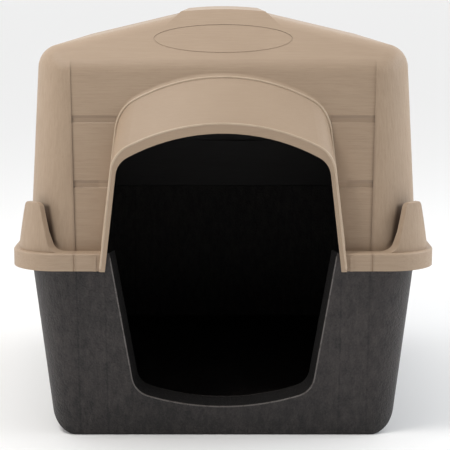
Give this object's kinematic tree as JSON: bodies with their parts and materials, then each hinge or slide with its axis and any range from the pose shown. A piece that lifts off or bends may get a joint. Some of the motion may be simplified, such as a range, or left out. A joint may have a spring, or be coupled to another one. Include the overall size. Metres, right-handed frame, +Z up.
{
  "type": "moulded animal shelter",
  "caption": "Moulded plastic shelter for a small animal: a gabled roof half with an arched hood over the doorway stands on a deep base tub and lifts off.",
  "frame": {"origin": "on the ground, at the centre of the whole object's plan", "axes": "+Z up, the doorway faces -Y, +X to the right when looking in at the doorway"},
  "size_m": [0.64, 0.82, 0.656],
  "materials": {
    "tub_plastic": "fine stippled matt",
    "roof_plastic": "satin with a fine moulded wood grain"
  },
  "bodies": {
    "base": {"base_tub": "tub_plastic", "tongue_front_left": "tub_plastic", "tongue_front_right": "tub_plastic", "tongue_rear_left": "tub_plastic", "tongue_rear_right": "tub_plastic"},
    "roof": {"roof_shell": "roof_plastic"}
  },
  "joints": [
    {"name": "roof_lift", "type": "slide", "parent": "base", "child": "roof", "axis": [0, 0, 1], "range_m": [0, 0.2]}
  ]
}
